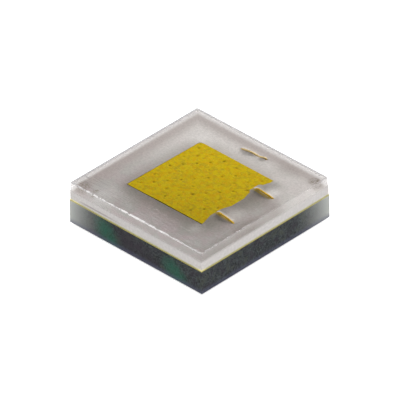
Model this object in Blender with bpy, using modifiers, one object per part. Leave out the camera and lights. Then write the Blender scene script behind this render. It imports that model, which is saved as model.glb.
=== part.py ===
"""Flat-top ceramic light-emitting diode, 3.45 mm square.

A dark ceramic tile carries three solder pads below and plated conductors above. A chip with a
yellow phosphor layer and a small protection diode are soldered to the conductors, wired with gold
wire, cast round with white silicone and closed with a flat layer of clear silicone.

Metres, +Z up. The origin is the centre of the underside, on the plane of the solder pads.
"""

import math

import bmesh
import bpy
from mathutils import Matrix, Vector

MM = 0.001

# Tile and the layers cast on it
TILE_SIDE = 3.45 * MM
TILE_THICKNESS = 0.505 * MM
CAST_SETBACK = 0.010 * MM
COVER_THICKNESS = 0.178 * MM
COVER_EDGE = 0.012 * MM

# The white fill climbs the chip's sides, over its level at the package's edge
CLIMB_HEIGHT = 0.040 * MM
CLIMB_WIDTH = 0.280 * MM
CLIMB_LIP = 0.012 * MM
# Where the climb turns steeper: share of its width out from the lip, share of its height
CLIMB_KNEE = (0.4, 0.3)

# Clearance between a piece and what is cast or plated round it
FIT = 0.002 * MM
# How far a cutter runs past the face it opens
OVERRUN = 0.05 * MM

# Solder pads on the underside
PAD_THICKNESS = 0.03 * MM
PAD_MARGIN = 0.075 * MM
CONTACT_PAD_WIDTH = 0.50 * MM
PAD_GAP = 0.50 * MM
CATHODE_CORNER_CUT = 0.22 * MM

# Copper-filled through-contacts, the same number under each contact strip
VIA_DIAMETER = 0.15 * MM
VIA_PITCH = 1.10 * MM
VIAS_PER_SIDE = 3

# Plated conductors on the top of the tile
CONDUCTOR_THICKNESS = 0.028 * MM
RIM_WIDTH = 0.045 * MM
RIM_GAP = 0.07 * MM
CONDUCTOR_GAP = 0.10 * MM
WIRE_STRIP_WIDTH = 0.46 * MM
DIODE_ARM_WIDTH = 0.42 * MM
DIODE_ARM_START_X = 0.27 * MM

# Chip, its solder and the phosphor layer on it
CHIP_X = 0.008 * MM
CHIP_Y = 0.027 * MM
CHIP_MARGIN = 0.7425 * MM
CHIP_THICKNESS = 0.125 * MM
CHIP_SOLDER_THICKNESS = 0.015 * MM
PHOSPHOR_THICKNESS = 0.094 * MM
PHOSPHOR_INSET = 0.020 * MM

# Dips in the phosphor over the chip's inner contacts, in staggered rows
DIP_DIAMETER = 0.040 * MM
DIP_FLOOR_DIAMETER = 0.022 * MM
DIP_DEPTH = 0.010 * MM
DIP_MARGIN_X = 0.1475 * MM
DIP_MARGIN_Y = 0.1745 * MM
DIPS_IN_LONG_ROW = 6
DIP_ROWS = 9

# Bond pads at the chip's +X edge, each in a rounded notch of the phosphor
BOND_PAD_LENGTH = 0.24 * MM
BOND_PAD_THICKNESS = 0.005 * MM
BOND_PAD_EDGE = 0.010 * MM
NOTCH_WIDTH = 0.32 * MM
NOTCH_CORNER = 0.05 * MM
NOTCH_DEPTH_1 = 0.115 * MM
NOTCH_DEPTH_2 = 0.075 * MM
# From the chip's +Y side to the first pad's middle, and from its -Y side to the second's
BOND_PAD_INSET_1 = 0.4285 * MM
BOND_PAD_INSET_2 = 0.4805 * MM

# Protection diode
DIODE_X = -0.265 * MM
DIODE_SETBACK = 0.238 * MM
DIODE_SIDE = 0.24 * MM
DIODE_THICKNESS = 0.10 * MM
DIODE_SOLDER_THICKNESS = 0.012 * MM
DIODE_PAD_SIDE = 0.16 * MM
DIODE_PAD_THICKNESS = 0.005 * MM

# Gold wire: a ball at its first bond, a flattened foot at its second
WIRE_DIAMETER = 0.050 * MM
BALL_DIAMETER = 0.072 * MM
BALL_HEIGHT = 0.022 * MM
FOOT_LENGTH = 0.110 * MM
FOOT_WIDTH = 0.074 * MM
FOOT_THICKNESS = 0.010 * MM
LOOP_RISE = 0.035 * MM
WIRE_REACH = 0.530 * MM
WIRE_SWING_1 = -0.002 * MM
WIRE_SWING_2 = -0.032 * MM
DIODE_LOOP_RISE = 0.050 * MM
DIODE_WIRE_REACH = 0.680 * MM
DIODE_WIRE_SWING = 0.068 * MM
ROUTE_STEPS = 4
# Share of its height over the conductor that a wire's radius takes where it is pressed flat
FLATTENING = 0.8

ROUND_SIDES = 24
SMALL_ROUND_SIDES = 12

# Levels, from the underside up
TILE_BOTTOM = PAD_THICKNESS
TILE_TOP = TILE_BOTTOM + TILE_THICKNESS
CONDUCTOR_TOP = TILE_TOP + CONDUCTOR_THICKNESS
CHIP_BOTTOM = CONDUCTOR_TOP + CHIP_SOLDER_THICKNESS
CHIP_TOP = CHIP_BOTTOM + CHIP_THICKNESS
PHOSPHOR_TOP = CHIP_TOP + PHOSPHOR_THICKNESS
FILL_TOP = PHOSPHOR_TOP - CLIMB_HEIGHT
COVER_TOP = FILL_TOP + COVER_THICKNESS
DIODE_BOTTOM = CONDUCTOR_TOP + DIODE_SOLDER_THICKNESS
DIODE_TOP = DIODE_BOTTOM + DIODE_THICKNESS

# Places worked out from the sizes above
CAST_SIDE = TILE_SIDE - 2 * CAST_SETBACK
PAD_LENGTH = TILE_SIDE - 2 * PAD_MARGIN
CONTACT_PAD_X = PAD_LENGTH / 2 - CONTACT_PAD_WIDTH / 2
THERMAL_PAD_WIDTH = 2 * (PAD_LENGTH / 2 - CONTACT_PAD_WIDTH - PAD_GAP)
CONDUCTOR_EDGE = CAST_SIDE / 2 - RIM_WIDTH - RIM_GAP
STRIP_X = CONDUCTOR_EDGE - WIRE_STRIP_WIDTH
ARM_Y = CONDUCTOR_EDGE - DIODE_ARM_WIDTH
DIODE_Y = CONDUCTOR_EDGE - DIODE_SETBACK
CHIP_SIDE = TILE_SIDE - 2 * CHIP_MARGIN
PHOSPHOR_SIDE = CHIP_SIDE - 2 * PHOSPHOR_INSET
PHOSPHOR_EDGE_X = CHIP_X + PHOSPHOR_SIDE / 2
CHIP_EDGE_X = CHIP_X + CHIP_SIDE / 2
BOND_PAD_Y_1 = CHIP_Y + CHIP_SIDE / 2 - BOND_PAD_INSET_1
BOND_PAD_Y_2 = CHIP_Y - CHIP_SIDE / 2 + BOND_PAD_INSET_2

PARTS = "flat_top_ceramic_led"
CUTTERS = "cutters"


def clear_scene():
    """Empties the file of objects and makes the two collections."""
    for old in list(bpy.data.objects):
        bpy.data.objects.remove(old, do_unlink=True)
    for name in (PARTS, CUTTERS):
        bpy.context.scene.collection.children.link(bpy.data.collections.new(name))


def material(name, colour, roughness, metallic=0.0, transmission=0.0):
    made = bpy.data.materials.new(name)
    made.use_nodes = True
    made.diffuse_color = (*colour, 1.0)
    shader = made.node_tree.nodes["Principled BSDF"]
    shader.inputs["Base Color"].default_value = (*colour, 1.0)
    shader.inputs["Roughness"].default_value = roughness
    shader.inputs["Metallic"].default_value = metallic
    shader.inputs["Transmission Weight"].default_value = transmission
    return made


def add_object(name, shape, made_of=None):
    """Turns a bmesh into an object: a part if it has a material, a hidden cutter if not."""
    mesh = bpy.data.meshes.new(name)
    bmesh.ops.recalc_face_normals(shape, faces=shape.faces)
    shape.to_mesh(mesh)
    shape.free()
    return link(bpy.data.objects.new(name, mesh), made_of)


def link(made, made_of):
    if made_of is None:
        bpy.data.collections[CUTTERS].objects.link(made)
        made.hide_render = True
        made.display_type = "WIRE"
    else:
        bpy.data.collections[PARTS].objects.link(made)
        made.data.materials.append(made_of)
    return made


def box(name, low, high, made_of=None):
    """A block between two opposite corners."""
    low = Vector(low)
    high = Vector(high)
    shape = bmesh.new()
    place = Matrix.Translation((low + high) / 2) @ Matrix.Diagonal((*(high - low), 1.0))
    bmesh.ops.create_cube(shape, size=1.0, matrix=place)
    return add_object(name, shape, made_of)


def square_block(name, centre, side, bottom, top, made_of=None):
    """A square plate round a centre, between two levels."""
    x, y = centre
    return box(name, (x - side / 2, y - side / 2, bottom), (x + side / 2, y + side / 2, top), made_of)


def cylinder(name, centre, radius, bottom, top, sides, made_of=None):
    shape = bmesh.new()
    place = Matrix.Translation((*centre, (bottom + top) / 2))
    bmesh.ops.create_cone(
        shape,
        cap_ends=True,
        segments=sides,
        radius1=radius,
        radius2=radius,
        depth=top - bottom,
        matrix=place,
    )
    return add_object(name, shape, made_of)


def plate(name, outline, bottom, top, made_of):
    """A flat plate with a straight-sided outline, as a filled and extruded 2D curve made a mesh."""
    curve = bpy.data.curves.new(name, "CURVE")
    curve.dimensions = "2D"
    curve.fill_mode = "BOTH"
    curve.extrude = (top - bottom) / 2
    spline = curve.splines.new("POLY")
    spline.points.add(len(outline) - 1)
    for point, (x, y) in zip(spline.points, outline):
        point.co = (x, y, 0.0, 1.0)
    spline.use_cyclic_u = True
    return mesh_from_curve(name, curve, Matrix.Translation((0.0, 0.0, (bottom + top) / 2)), made_of)


def mesh_from_curve(name, curve, place, made_of):
    """Makes a curve a closed mesh, with its caps welded, so that it can be cut and joined."""
    guide = bpy.data.objects.new(name, curve)
    bpy.context.scene.collection.objects.link(guide)
    evaluated = guide.evaluated_get(bpy.context.evaluated_depsgraph_get())
    mesh = bpy.data.meshes.new_from_object(evaluated)
    bpy.data.objects.remove(guide, do_unlink=True)
    bpy.data.curves.remove(curve)
    mesh.materials.clear()
    shape = bmesh.new()
    shape.from_mesh(mesh)
    bmesh.ops.remove_doubles(shape, verts=shape.verts, dist=FIT / 20)
    bmesh.ops.transform(shape, matrix=place, verts=shape.verts)
    bpy.data.meshes.remove(mesh)
    return add_object(name, shape, made_of)


def boolean(target, other, operation="DIFFERENCE"):
    modifier = target.modifiers.new(operation.lower(), "BOOLEAN")
    modifier.operation = operation
    modifier.solver = "EXACT"
    modifier.object = other
    return target


def shade_round(made):
    made.data.shade_smooth()
    made.data.set_sharp_from_angle(angle=math.radians(40.0))
    return made


def via_places(side):
    """Centres of the through-contacts on one side: +1 for the anode strip, -1 for the cathode."""
    first = -(VIAS_PER_SIDE - 1) / 2
    return [(side * CONTACT_PAD_X, (first + n) * VIA_PITCH) for n in range(VIAS_PER_SIDE)]


def build_tile(ceramic):
    """The ceramic tile, drilled for its through-contacts."""
    tile = square_block("ceramic_substrate", (0.0, 0.0), TILE_SIDE, TILE_BOTTOM, TILE_TOP, ceramic)
    radius = VIA_DIAMETER / 2 + FIT
    for number, centre in enumerate(via_places(1) + via_places(-1), 1):
        name = f"via_drill_{number}"
        bottom = TILE_BOTTOM - OVERRUN
        top = TILE_TOP + OVERRUN
        boolean(tile, cylinder(name, centre, radius, bottom, top, ROUND_SIDES))


def build_vias(copper):
    for side, name in ((1, "anode_via"), (-1, "cathode_via")):
        for number, centre in enumerate(via_places(side), 1):
            plug = cylinder(
                f"{name}_{number}", centre, VIA_DIAMETER / 2, TILE_BOTTOM, TILE_TOP, ROUND_SIDES, copper
            )
            shade_round(plug)


def build_solder_pads(gold):
    """Thermal pad, plain anode strip, and cathode strip with the corner cut that marks it."""
    half = PAD_LENGTH / 2
    half_thermal = THERMAL_PAD_WIDTH / 2
    box("thermal_pad", (-half_thermal, -half, 0.0), (half_thermal, half, TILE_BOTTOM), gold)
    inner = CONTACT_PAD_X - CONTACT_PAD_WIDTH / 2
    outer = CONTACT_PAD_X + CONTACT_PAD_WIDTH / 2
    box("anode_pad", (inner, -half, 0.0), (outer, half, TILE_BOTTOM), gold)
    cut = CATHODE_CORNER_CUT
    marked_corner = [(cut - outer, half), (-outer, half - cut)]
    outline = [(-outer, -half), (-inner, -half), (-inner, half), *marked_corner]
    plate("cathode_pad", outline, 0.0, TILE_BOTTOM, gold)


def chip_pad_outline(grown=0.0):
    """The conductor under the chip and the diode. Its edges can be set outwards for a cutter."""
    edge = CONDUCTOR_EDGE + grown
    right = STRIP_X - CONDUCTOR_GAP + grown
    arm_right = DIODE_ARM_START_X - CONDUCTOR_GAP + grown
    step = ARM_Y - CONDUCTOR_GAP + grown
    inner_corner = [(right, step), (arm_right, step)]
    return [(-edge, -edge), (right, -edge), *inner_corner, (arm_right, edge), (-edge, edge)]


def wire_pad_outline(grown=0.0):
    """The conductor that takes the wires: a strip along +X, and an arm along +Y for the diode."""
    edge = CONDUCTOR_EDGE + grown
    left = STRIP_X - grown
    arm_left = DIODE_ARM_START_X - grown
    step = ARM_Y - grown
    inner_corner = [(arm_left, step), (left, step)]
    return [(left, -edge), (edge, -edge), (edge, edge), (arm_left, edge), *inner_corner]


def build_conductors(gold):
    plate("chip_pad", chip_pad_outline(), TILE_TOP, CONDUCTOR_TOP, gold)
    plate("wire_pad", wire_pad_outline(), TILE_TOP, CONDUCTOR_TOP, gold)
    rim = square_block("rim_metal", (0.0, 0.0), CAST_SIDE, TILE_TOP, CONDUCTOR_TOP, gold)
    inside = square_block(
        "rim_inside", (0.0, 0.0), CAST_SIDE - 2 * RIM_WIDTH, TILE_TOP - OVERRUN, CONDUCTOR_TOP + OVERRUN
    )
    boolean(rim, inside)


def notches():
    """Centre line and depth of each notch that the phosphor leaves free for a bond pad."""
    return ((BOND_PAD_Y_1, NOTCH_DEPTH_1), (BOND_PAD_Y_2, NOTCH_DEPTH_2))


def notch_cutter(name, y, depth, width, bottom, top):
    """A block with rounded inner corners that opens one notch from the phosphor's +X edge."""
    shape = bmesh.new()
    low_x = PHOSPHOR_EDGE_X - depth
    high_x = CHIP_EDGE_X + OVERRUN
    centre = Vector(((low_x + high_x) / 2, y, (bottom + top) / 2))
    size = Matrix.Diagonal((high_x - low_x, width, top - bottom, 1.0))
    bmesh.ops.create_cube(shape, size=1.0, matrix=Matrix.Translation(centre) @ size)
    inner = [
        edge
        for edge in shape.edges
        if all(abs(corner.co.x - low_x) < FIT for corner in edge.verts)
        and abs(edge.verts[0].co.z - edge.verts[1].co.z) > (top - bottom) / 2
    ]
    corner = min(NOTCH_CORNER, depth * 0.9)
    bmesh.ops.bevel(shape, geom=inner, offset=corner, segments=4, profile=0.5, affect="EDGES")
    return add_object(name, shape)


def dip_places():
    """Centres of the dips: long and short rows in turn, the short ones half a pitch along."""
    pitch_x = (PHOSPHOR_SIDE - 2 * DIP_MARGIN_X) / (DIPS_IN_LONG_ROW - 1)
    pitch_y = (PHOSPHOR_SIDE - 2 * DIP_MARGIN_Y) / (DIP_ROWS - 1)
    places = []
    for row in range(DIP_ROWS):
        count = DIPS_IN_LONG_ROW - row % 2
        y = CHIP_Y + (row - (DIP_ROWS - 1) / 2) * pitch_y
        places += [(CHIP_X + (n - (count - 1) / 2) * pitch_x, y) for n in range(count)]
    return places


def dip_cutter():
    """All the dips as one cutter of small cones that narrow downwards."""
    shape = bmesh.new()
    slope = (DIP_DIAMETER - DIP_FLOOR_DIAMETER) / 2 / DIP_DEPTH
    height = 2 * DIP_DEPTH
    for x, y in dip_places():
        bmesh.ops.create_cone(
            shape,
            cap_ends=True,
            segments=8,
            radius1=DIP_FLOOR_DIAMETER / 2,
            radius2=DIP_FLOOR_DIAMETER / 2 + slope * height,
            depth=height,
            matrix=Matrix.Translation((x, y, PHOSPHOR_TOP)),
        )
    return add_object("dip_cutter", shape)


def build_chip(solder, chip_side, phosphor, gold):
    centre = (CHIP_X, CHIP_Y)
    square_block("die_attach", centre, CHIP_SIDE, CONDUCTOR_TOP, CHIP_BOTTOM, solder)
    square_block("led_chip", centre, CHIP_SIDE, CHIP_BOTTOM, CHIP_TOP, chip_side)
    layer = square_block("phosphor_layer", centre, PHOSPHOR_SIDE, CHIP_TOP, PHOSPHOR_TOP, phosphor)
    for number, (y, depth) in enumerate(notches(), 1):
        name = f"phosphor_notch_{number}"
        bottom = CHIP_TOP - OVERRUN
        top = PHOSPHOR_TOP + OVERRUN
        boolean(layer, notch_cutter(name, y, depth, NOTCH_WIDTH, bottom, top))
        low, high = bond_pad_corners(y, depth)
        box(f"chip_bond_pad_{number}", low, high, gold)
    boolean(layer, dip_cutter())


def bond_pad_corners(y, depth, grown=0.0):
    """A bond pad fills its notch up to a border, and stops short of the chip's edge."""
    low_x = PHOSPHOR_EDGE_X - depth + BOND_PAD_EDGE - grown
    high_x = CHIP_EDGE_X - BOND_PAD_EDGE + grown
    half = BOND_PAD_LENGTH / 2 + grown
    return (low_x, y - half, CHIP_TOP), (high_x, y + half, CHIP_TOP + BOND_PAD_THICKNESS + grown)


def build_diode(solder, silicon, gold):
    centre = (DIODE_X, DIODE_Y)
    square_block("diode_attach", centre, DIODE_SIDE, CONDUCTOR_TOP, DIODE_BOTTOM, solder)
    square_block("esd_diode", centre, DIODE_SIDE, DIODE_BOTTOM, DIODE_TOP, silicon)
    pad_top = DIODE_TOP + DIODE_PAD_THICKNESS
    square_block("diode_bond_pad", centre, DIODE_PAD_SIDE, DIODE_TOP, pad_top, gold)


def chip_wire_ends(number):
    """The first bond on the chip's pad and the second on the wire strip."""
    y, depth = notches()[number - 1]
    low, high = bond_pad_corners(y, depth)
    x = (low[0] + high[0]) / 2
    start = Vector((x, y, high[2]))
    swing = (WIRE_SWING_1, WIRE_SWING_2)[number - 1]
    return start, Vector((x + WIRE_REACH, y + swing, CONDUCTOR_TOP))


def diode_wire_ends():
    start = Vector((DIODE_X, DIODE_Y, DIODE_TOP + DIODE_PAD_THICKNESS))
    return start, Vector((DIODE_X + DIODE_WIRE_REACH, DIODE_Y + DIODE_WIRE_SWING, CONDUCTOR_TOP))


def landing_keys(end, last_share):
    """The end of a route: the wire is pressed flatter and flatter on its conductor."""
    return [
        (last_share - 0.06, end.z + WIRE_DIAMETER * 0.70),
        (last_share - 0.03, end.z + WIRE_DIAMETER * 0.35),
        (last_share, end.z + FOOT_THICKNESS / 2),
    ]


def chip_wire_keys(start, end):
    """Shares of the reach and heights: straight up, over a crest, then down in a long slope."""
    crest = PHOSPHOR_TOP + LOOP_RISE
    skim = FILL_TOP - WIRE_DIAMETER / 4
    rise = crest - start.z
    fall = crest - skim
    return [
        (0.0, start.z + BALL_HEIGHT / 2),
        (-0.015, start.z + rise * 0.50),
        (0.01, start.z + rise * 0.82),
        (0.07, start.z + rise * 0.97),
        (0.15, crest),
        (0.40, crest - fall * 0.22),
        (0.62, crest - fall * 0.58),
        (0.79, skim),
        (0.89, (skim + end.z) / 2),
        *landing_keys(end, 1.03),
    ]


def diode_wire_keys(start, end):
    """The diode's loop has two low crests, with a sag between them down into the fill."""
    return [
        (0.0, start.z + BALL_HEIGHT / 2),
        (0.03, (start.z + FILL_TOP) / 2),
        (0.13, FILL_TOP + DIODE_LOOP_RISE * 0.25),
        (0.40, FILL_TOP + DIODE_LOOP_RISE * 0.85),
        (0.67, FILL_TOP - WIRE_DIAMETER / 5),
        (0.85, FILL_TOP + DIODE_LOOP_RISE * 0.70),
        (0.92, FILL_TOP + DIODE_LOOP_RISE * 0.25),
        (0.955, (FILL_TOP + end.z) / 2),
        *landing_keys(end, 1.04),
    ]


def smooth_route(start, end, keys):
    """Points on one smooth curve through the keys, which lie in the plane of the wire's reach."""
    flat = Vector((end.x - start.x, end.y - start.y, 0.0))
    base = Vector((start.x, start.y, 0.0))
    knots = [base + flat * share + Vector((0.0, 0.0, height)) for share, height in keys]
    knots = [2 * knots[0] - knots[1], *knots, 2 * knots[-1] - knots[-2]]
    route = []
    for a, b, c, d in zip(knots, knots[1:], knots[2:], knots[3:]):
        for step in range(ROUTE_STEPS):
            t = step / ROUTE_STEPS
            bend = (c - a) * t + (2 * a - 5 * b + 4 * c - d) * t**2 + (3 * b - a - 3 * c + d) * t**3
            route.append(b + bend / 2)
    return [*route, knots[-2]]


def wire_tube(name, route, end, grown=0.0, made_of=None):
    """A round wire along its route, as a bevelled curve with filled caps made a mesh."""
    widest = WIRE_DIAMETER / 2 + grown
    curve = bpy.data.curves.new(name, "CURVE")
    curve.dimensions = "3D"
    curve.bevel_depth = widest
    curve.bevel_resolution = 2
    curve.use_fill_caps = True
    spline = curve.splines.new("POLY")
    spline.points.add(len(route) - 1)
    for point, place in zip(spline.points, route):
        radius = min(WIRE_DIAMETER / 2, (place.z - end.z) * FLATTENING)
        point.co = (*place, 1.0)
        point.radius = (radius + grown) / widest
    return mesh_from_curve(name, curve, Matrix.Identity(4), made_of)


def ball(name, start, grown=0.0):
    """The squashed ball of a first bond: a low drum with a domed shoulder, turned round its axis."""
    radius = BALL_DIAMETER / 2 + grown
    neck = WIRE_DIAMETER / 2 + grown
    top = BALL_HEIGHT + grown
    shoulder = [(radius * 0.92, top * 0.75), (radius, top * 0.4), (radius * 0.9, 0.0)]
    profile = [(0.0, top), (neck, top), *shoulder, (0.0, 0.0)]
    shape = bmesh.new()
    points = [shape.verts.new((x, 0.0, z)) for x, z in profile]
    for first, second in zip(points, points[1:]):
        shape.edges.new((first, second))
    mesh = bpy.data.meshes.new(name)
    shape.to_mesh(mesh)
    shape.free()
    turned = link(bpy.data.objects.new(name, mesh), None)
    turned.location = start
    screw = turned.modifiers.new("turn", "SCREW")
    screw.steps = SMALL_ROUND_SIDES
    screw.render_steps = SMALL_ROUND_SIDES
    screw.use_merge_vertices = True
    screw.merge_threshold = FIT / 20
    return turned


def foot(name, start, end, grown=0.0):
    """The flattened end of a wire where it is pressed on its conductor."""
    along = Vector((end.x - start.x, end.y - start.y, 0.0))
    turn = Matrix.Rotation(math.atan2(along.y, along.x), 4, "Z")
    top = end.z + FOOT_THICKNESS + grown
    bottom = end.z - (OVERRUN if grown else 0.0)
    size = Matrix.Diagonal((FOOT_LENGTH + 2 * grown, FOOT_WIDTH + 2 * grown, top - bottom, 1.0))
    place = Matrix.Translation((end.x, end.y, (top + bottom) / 2))
    shape = bmesh.new()
    bmesh.ops.create_cone(
        shape,
        cap_ends=True,
        segments=SMALL_ROUND_SIDES,
        radius1=0.5,
        radius2=0.5,
        depth=1.0,
        matrix=place @ turn @ size,
    )
    return add_object(name, shape)


def wires():
    """Name, ends and route of each wire."""
    found = []
    for number in (1, 2):
        start, end = chip_wire_ends(number)
        route = smooth_route(start, end, chip_wire_keys(start, end))
        found.append((f"bond_wire_{number}", start, end, route))
    start, end = diode_wire_ends()
    found.append(("diode_wire", start, end, smooth_route(start, end, diode_wire_keys(start, end))))
    return found


def build_wires(gold):
    for name, start, end, route in wires():
        wire = wire_tube(name, route, end, made_of=gold)
        boolean(wire, ball(f"{name}_ball", start), "UNION")
        boolean(wire, foot(f"{name}_foot", start, end), "UNION")
        shade_round(wire)


def wire_cutters():
    """For each wire, the shapes that leave its channel in what is cast round it."""
    cutters = []
    for name, start, end, route in wires():
        cutters.append(wire_tube(f"{name}_channel", route, end, FIT))
        cutters.append(ball(f"{name}_ball_room", start, FIT))
        cutters.append(foot(f"{name}_foot_room", start, end, FIT))
    return cutters


def build_fill(white, channels):
    """White silicone: it runs between the conductors and climbs to the top of the phosphor."""
    centre = (0.0, 0.0)
    fill = square_block("white_fill", centre, CAST_SIDE, CONDUCTOR_TOP, FILL_TOP, white)
    boolean(fill, climb("fill_climb"), "UNION")
    floor_side = CAST_SIDE - 2 * RIM_WIDTH - 2 * FIT
    boolean(fill, square_block("fill_floor", centre, floor_side, TILE_TOP, CHIP_BOTTOM), "UNION")
    below = TILE_TOP - OVERRUN
    boolean(fill, plate("chip_pad_room", chip_pad_outline(FIT), below, CONDUCTOR_TOP, None))
    boolean(fill, plate("wire_pad_room", wire_pad_outline(FIT), below, CONDUCTOR_TOP, None))
    chip_centre = (CHIP_X, CHIP_Y)
    boolean(fill, square_block("chip_room", chip_centre, CHIP_SIDE + 2 * FIT, below, CHIP_TOP))
    boolean(fill, phosphor_room())
    for number, (y, depth) in enumerate(notches(), 1):
        low, high = bond_pad_corners(y, depth, FIT)
        boolean(fill, box(f"bond_pad_room_{number}", (low[0], low[1], low[2] - OVERRUN), high))
    diode_centre = (DIODE_X, DIODE_Y)
    boolean(fill, square_block("diode_room", diode_centre, DIODE_SIDE + 2 * FIT, below, DIODE_TOP))
    pad_side = DIODE_PAD_SIDE + 2 * FIT
    pad_top = DIODE_TOP + DIODE_PAD_THICKNESS + FIT
    boolean(fill, square_block("diode_pad_room", diode_centre, pad_side, below, pad_top))
    for channel in channels:
        boolean(fill, channel)


def climb(name):
    """The square mound that the fill's surface makes round the chip, in two slopes."""
    foot = CHIP_SIDE / 2 + CLIMB_WIDTH
    head = CHIP_SIDE / 2 + CLIMB_LIP
    knee = head + (foot - head) * CLIMB_KNEE[0]
    levels = [
        (foot, FILL_TOP - OVERRUN),
        (foot, FILL_TOP),
        (knee, FILL_TOP + CLIMB_HEIGHT * CLIMB_KNEE[1]),
        (head, PHOSPHOR_TOP),
    ]
    corners = ((-1, -1), (1, -1), (1, 1), (-1, 1))
    shape = bmesh.new()
    loops = []
    for half, z in levels:
        places = [(CHIP_X + x * half, CHIP_Y + y * half, z) for x, y in corners]
        loops.append([shape.verts.new(place) for place in places])
    for lower, upper in zip(loops, loops[1:]):
        for n in range(len(corners)):
            shape.faces.new((lower[n - 1], lower[n], upper[n], upper[n - 1]))
    shape.faces.new(loops[0])
    shape.faces.new(loops[-1])
    return add_object(name, shape)


def phosphor_room():
    """Space for the phosphor in the fill, which keeps its own tongues in the two notches."""
    top = PHOSPHOR_TOP + OVERRUN
    bottom = CHIP_TOP - OVERRUN
    room = square_block("phosphor_room", (CHIP_X, CHIP_Y), CHIP_SIDE + 2 * FIT, bottom, top)
    for number, (y, depth) in enumerate(notches(), 1):
        tongue = notch_cutter(
            f"fill_tongue_{number}", y, depth - FIT, NOTCH_WIDTH - 2 * FIT, CHIP_TOP, top + OVERRUN
        )
        boolean(room, tongue)
    return room


def build_cover(clear, channels):
    """Clear silicone with a flat top, sawn sides and slightly broken top edges."""
    shape = bmesh.new()
    size = Matrix.Diagonal((CAST_SIDE, CAST_SIDE, COVER_THICKNESS, 1.0))
    place = Matrix.Translation((0.0, 0.0, (FILL_TOP + COVER_TOP) / 2))
    bmesh.ops.create_cube(shape, size=1.0, matrix=place @ size)
    middle = (FILL_TOP + COVER_TOP) / 2
    top_edges = [edge for edge in shape.edges if all(corner.co.z > middle for corner in edge.verts)]
    bmesh.ops.bevel(shape, geom=top_edges, offset=COVER_EDGE, segments=2, profile=0.5, affect="EDGES")
    cover = add_object("clear_cover", shape, clear)
    boolean(cover, climb("cover_climb"))
    boolean(cover, trench_filling(), "UNION")
    for channel in channels:
        boolean(cover, channel)


def trench_filling():
    """The ring of clear silicone that runs down round the phosphor, between it and the fill."""
    centre = (CHIP_X, CHIP_Y)
    ring = square_block("trench_ring", centre, CHIP_SIDE, CHIP_TOP, PHOSPHOR_TOP + OVERRUN)
    bottom = CHIP_TOP - OVERRUN
    top = PHOSPHOR_TOP + 2 * OVERRUN
    boolean(ring, square_block("trench_inside", centre, PHOSPHOR_SIDE + 2 * FIT, bottom, top))
    low_x = PHOSPHOR_EDGE_X - OVERRUN
    high_x = CHIP_EDGE_X + OVERRUN
    half = NOTCH_WIDTH / 2
    for number, (y, depth) in enumerate(notches(), 1):
        boolean(ring, box(f"trench_break_{number}", (low_x, y - half, bottom), (high_x, y + half, top)))
    return ring


def build():
    clear_scene()
    ceramic = material("dark_ceramic", (0.055, 0.062, 0.060), 0.85)
    gold = material("gold_plating", (0.80, 0.62, 0.28), 0.35, metallic=1.0)
    copper = material("copper", (0.72, 0.38, 0.22), 0.40, metallic=1.0)
    solder = material("gold_tin_solder", (0.62, 0.56, 0.42), 0.45, metallic=1.0)
    chip_side = material("chip_silicon", (0.08, 0.09, 0.09), 0.35)
    silicon = material("diode_silicon", (0.10, 0.10, 0.12), 0.30)
    phosphor = material("yellow_phosphor", (0.58, 0.43, 0.02), 0.75)
    wire_gold = material("wire_gold", (0.86, 0.60, 0.16), 0.30, metallic=1.0)
    white = material("white_silicone", (0.60, 0.58, 0.56), 0.60)
    clear = material("clear_silicone", (0.95, 0.95, 0.94), 0.05, transmission=1.0)

    build_tile(ceramic)
    build_vias(copper)
    build_solder_pads(gold)
    build_conductors(gold)
    build_chip(solder, chip_side, phosphor, gold)
    build_diode(solder, silicon, gold)
    build_wires(wire_gold)
    channels = wire_cutters()
    build_fill(white, channels)
    build_cover(clear, channels)


build()
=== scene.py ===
import math

import bpy
import numpy as np
from mathutils import Matrix, Vector


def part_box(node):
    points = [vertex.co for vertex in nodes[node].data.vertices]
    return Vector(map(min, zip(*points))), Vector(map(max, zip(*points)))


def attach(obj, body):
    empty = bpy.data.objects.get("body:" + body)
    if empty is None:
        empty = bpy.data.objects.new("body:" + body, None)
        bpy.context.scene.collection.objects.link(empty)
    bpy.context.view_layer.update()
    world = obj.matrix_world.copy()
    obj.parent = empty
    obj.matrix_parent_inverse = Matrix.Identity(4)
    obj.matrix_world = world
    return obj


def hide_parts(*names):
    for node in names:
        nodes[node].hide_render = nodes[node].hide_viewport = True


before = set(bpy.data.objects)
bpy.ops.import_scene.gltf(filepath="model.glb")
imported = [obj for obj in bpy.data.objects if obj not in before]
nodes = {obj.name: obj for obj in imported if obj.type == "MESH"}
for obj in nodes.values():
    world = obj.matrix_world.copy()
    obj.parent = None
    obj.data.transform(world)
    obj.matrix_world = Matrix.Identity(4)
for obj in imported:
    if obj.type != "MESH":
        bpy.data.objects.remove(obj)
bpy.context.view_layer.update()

MM = 0.001

# ----------------------------------------
# Camera: a long lens well above one corner of the package, so that the near
# corner points at the viewer and opposite edges stay almost parallel.

CAMERA_AZIMUTH = math.radians(44.553)
CAMERA_ELEVATION = math.radians(34.665)
CAMERA_ROLL = math.radians(0.819)
CAMERA_DISTANCE = 150 * MM
CAMERA_LENS = 719.5
AIM_RIGHT = 0.0080 * MM
AIM_UP = -0.0084 * MM
AIM = Vector((0.0, 0.0, 0.480 * MM))

to_camera = Vector((
    math.sin(CAMERA_AZIMUTH) * math.cos(CAMERA_ELEVATION),
    -math.cos(CAMERA_AZIMUTH) * math.cos(CAMERA_ELEVATION),
    math.sin(CAMERA_ELEVATION),
))
level_right = Vector((math.cos(CAMERA_AZIMUTH), math.sin(CAMERA_AZIMUTH), 0.0))
level_up = to_camera.cross(level_right)
right = level_right * math.cos(CAMERA_ROLL) - level_up * math.sin(CAMERA_ROLL)
up = level_right * math.sin(CAMERA_ROLL) + level_up * math.cos(CAMERA_ROLL)

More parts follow.
